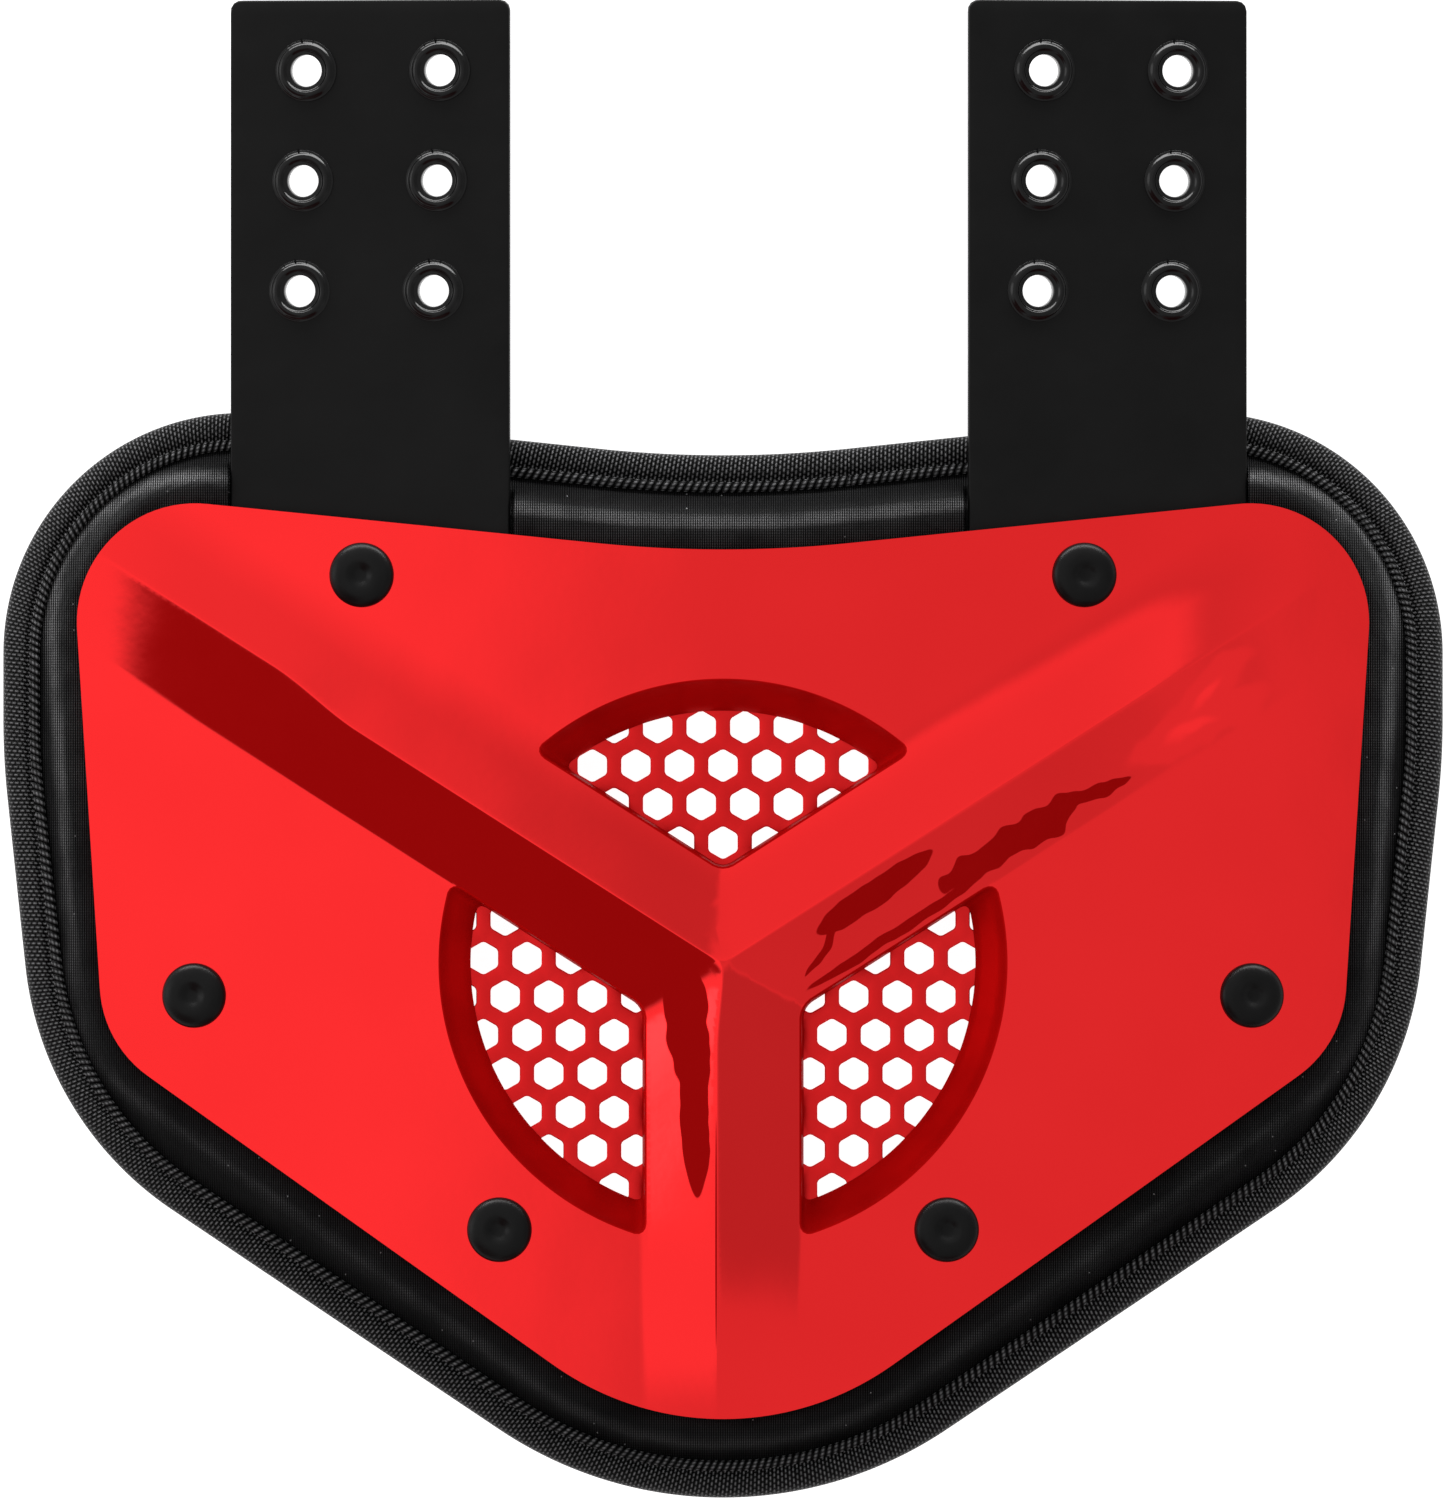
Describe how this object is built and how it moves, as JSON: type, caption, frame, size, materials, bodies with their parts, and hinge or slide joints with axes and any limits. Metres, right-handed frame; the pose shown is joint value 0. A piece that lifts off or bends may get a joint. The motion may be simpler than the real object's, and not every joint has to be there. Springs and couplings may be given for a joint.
{
  "type": "football back plate",
  "caption": "Rounded shield-shaped back plate with a raised Y and mesh vents, riveted on a bound foam pad, with two flat straps of eyelets.",
  "frame": {"origin": "middle of the foot of the whole object's box, as it lies on its pad with the plate up", "axes": "+Z out of the plate, +Y up the wearer's back towards the straps, +X to the right of the plate's face"},
  "size_m": [0.328, 0.3392, 0.0486],
  "materials": {
    "pad_fabric": "knit fabric over foam",
    "binding_tape": "woven tape",
    "red_gloss": "glossy metallic red",
    "strap_plastic": "satin",
    "eyelet_black": "gloss black",
    "rivet_black": "satin black"
  },
  "bodies": {
    "root": {"back_pad": "pad_fabric", "edge_binding": "binding_tape", "face_plate": "red_gloss", "vent_grille": "red_gloss", "strap_left": "strap_plastic", "strap_right": "strap_plastic", "eyelet_left_1": "eyelet_black", "eyelet_left_2": "eyelet_black", "eyelet_left_3": "eyelet_black", "eyelet_left_4": "eyelet_black", "eyelet_left_5": "eyelet_black", "eyelet_left_6": "eyelet_black", "eyelet_right_1": "eyelet_black", "eyelet_right_2": "eyelet_black", "eyelet_right_3": "eyelet_black", "eyelet_right_4": "eyelet_black", "eyelet_right_5": "eyelet_black", "eyelet_right_6": "eyelet_black", "rivet_strap_left": "rivet_black", "rivet_side_left": "rivet_black", "rivet_low_left": "rivet_black", "rivet_strap_right": "rivet_black", "rivet_side_right": "rivet_black", "rivet_low_right": "rivet_black"}
  },
  "joints": []
}
